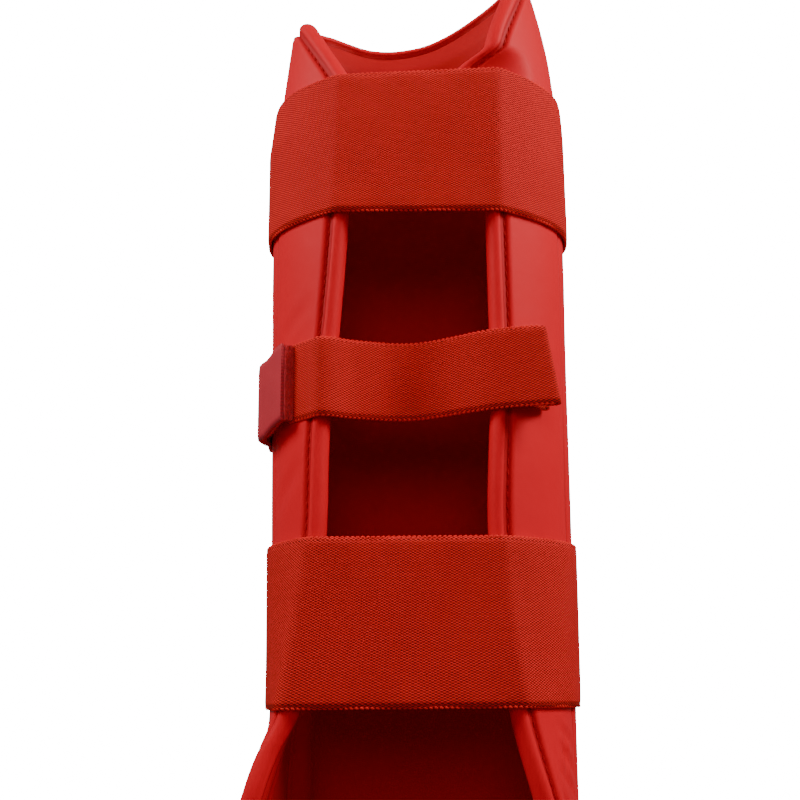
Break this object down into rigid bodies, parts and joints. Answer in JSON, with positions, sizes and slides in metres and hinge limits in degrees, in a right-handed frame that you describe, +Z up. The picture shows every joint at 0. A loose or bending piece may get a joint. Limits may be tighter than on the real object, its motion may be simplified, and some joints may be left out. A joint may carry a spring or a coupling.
{
  "type": "shin guard",
  "caption": "Padded shin guard with a thick front panel, thin side flaps, elastic bands across the open back and a hook-tab closing strap.",
  "frame": {"origin": "middle of the flat underside of the front panel's hem", "axes": "+Z up along the shin, +Y out of the front of the guard, -Y out of its open back, +X to the right seen from the back"},
  "size_m": [0.1333, 0.0905, 0.3666],
  "materials": {
    "vinyl": "smooth red polyurethane vinyl, soft satin sheen",
    "lining": "matte red vinyl lining",
    "elastic": "woven orange-red elastic webbing with a looped edge",
    "tape": "red hook-and-loop tape, smooth twill back and fuzzy pile",
    "thread": "dark red sewing thread",
    "foam": "pale closed-cell foam, hidden"
  },
  "bodies": {
    "guard": {"front_cover": "vinyl", "front_foam": "foam", "front_lining": "lining", "front_hem": "vinyl", "rim_roll": "vinyl", "rim_thread": "thread", "left_flap_cover": "vinyl", "left_flap_foam": "foam", "left_flap_lining": "lining", "left_flap_roll": "vinyl", "left_flap_hem": "vinyl", "left_roll_thread": "thread", "left_seam_thread": "thread", "right_flap_cover": "vinyl", "right_flap_foam": "foam", "right_flap_lining": "lining", "right_flap_roll": "vinyl", "right_flap_hem": "vinyl", "right_roll_thread": "thread", "right_seam_thread": "thread", "upper_band": "elastic", "upper_band_left_thread": "thread", "upper_band_right_thread": "thread", "lower_band": "elastic", "lower_band_left_thread": "thread", "lower_band_right_thread": "thread", "strap_base": "elastic", "strap_base_thread": "thread", "tab_root": "tape", "tab_thread": "thread"},
    "strap": {"closing_strap": "elastic", "loop_tape": "tape"},
    "tab": {"hook_tab": "tape", "hook_field": "tape"}
  },
  "joints": [
    {"name": "tab_peel", "type": "hinge", "parent": "guard", "child": "tab", "pos_m": [-0.06165, -0.04524, 0.1735], "axis": [0, 0, -1], "range_deg": [0, 150]},
    {"name": "strap_swing", "type": "hinge", "parent": "guard", "child": "strap", "pos_m": [0.04667, -0.08127, 0.1735], "axis": [0, 0, 1], "range_deg": [0, 45]}
  ],
  "couplings": [
    {"joint": "strap_swing", "follows": "tab_peel", "ratio": 0.3}
  ]
}
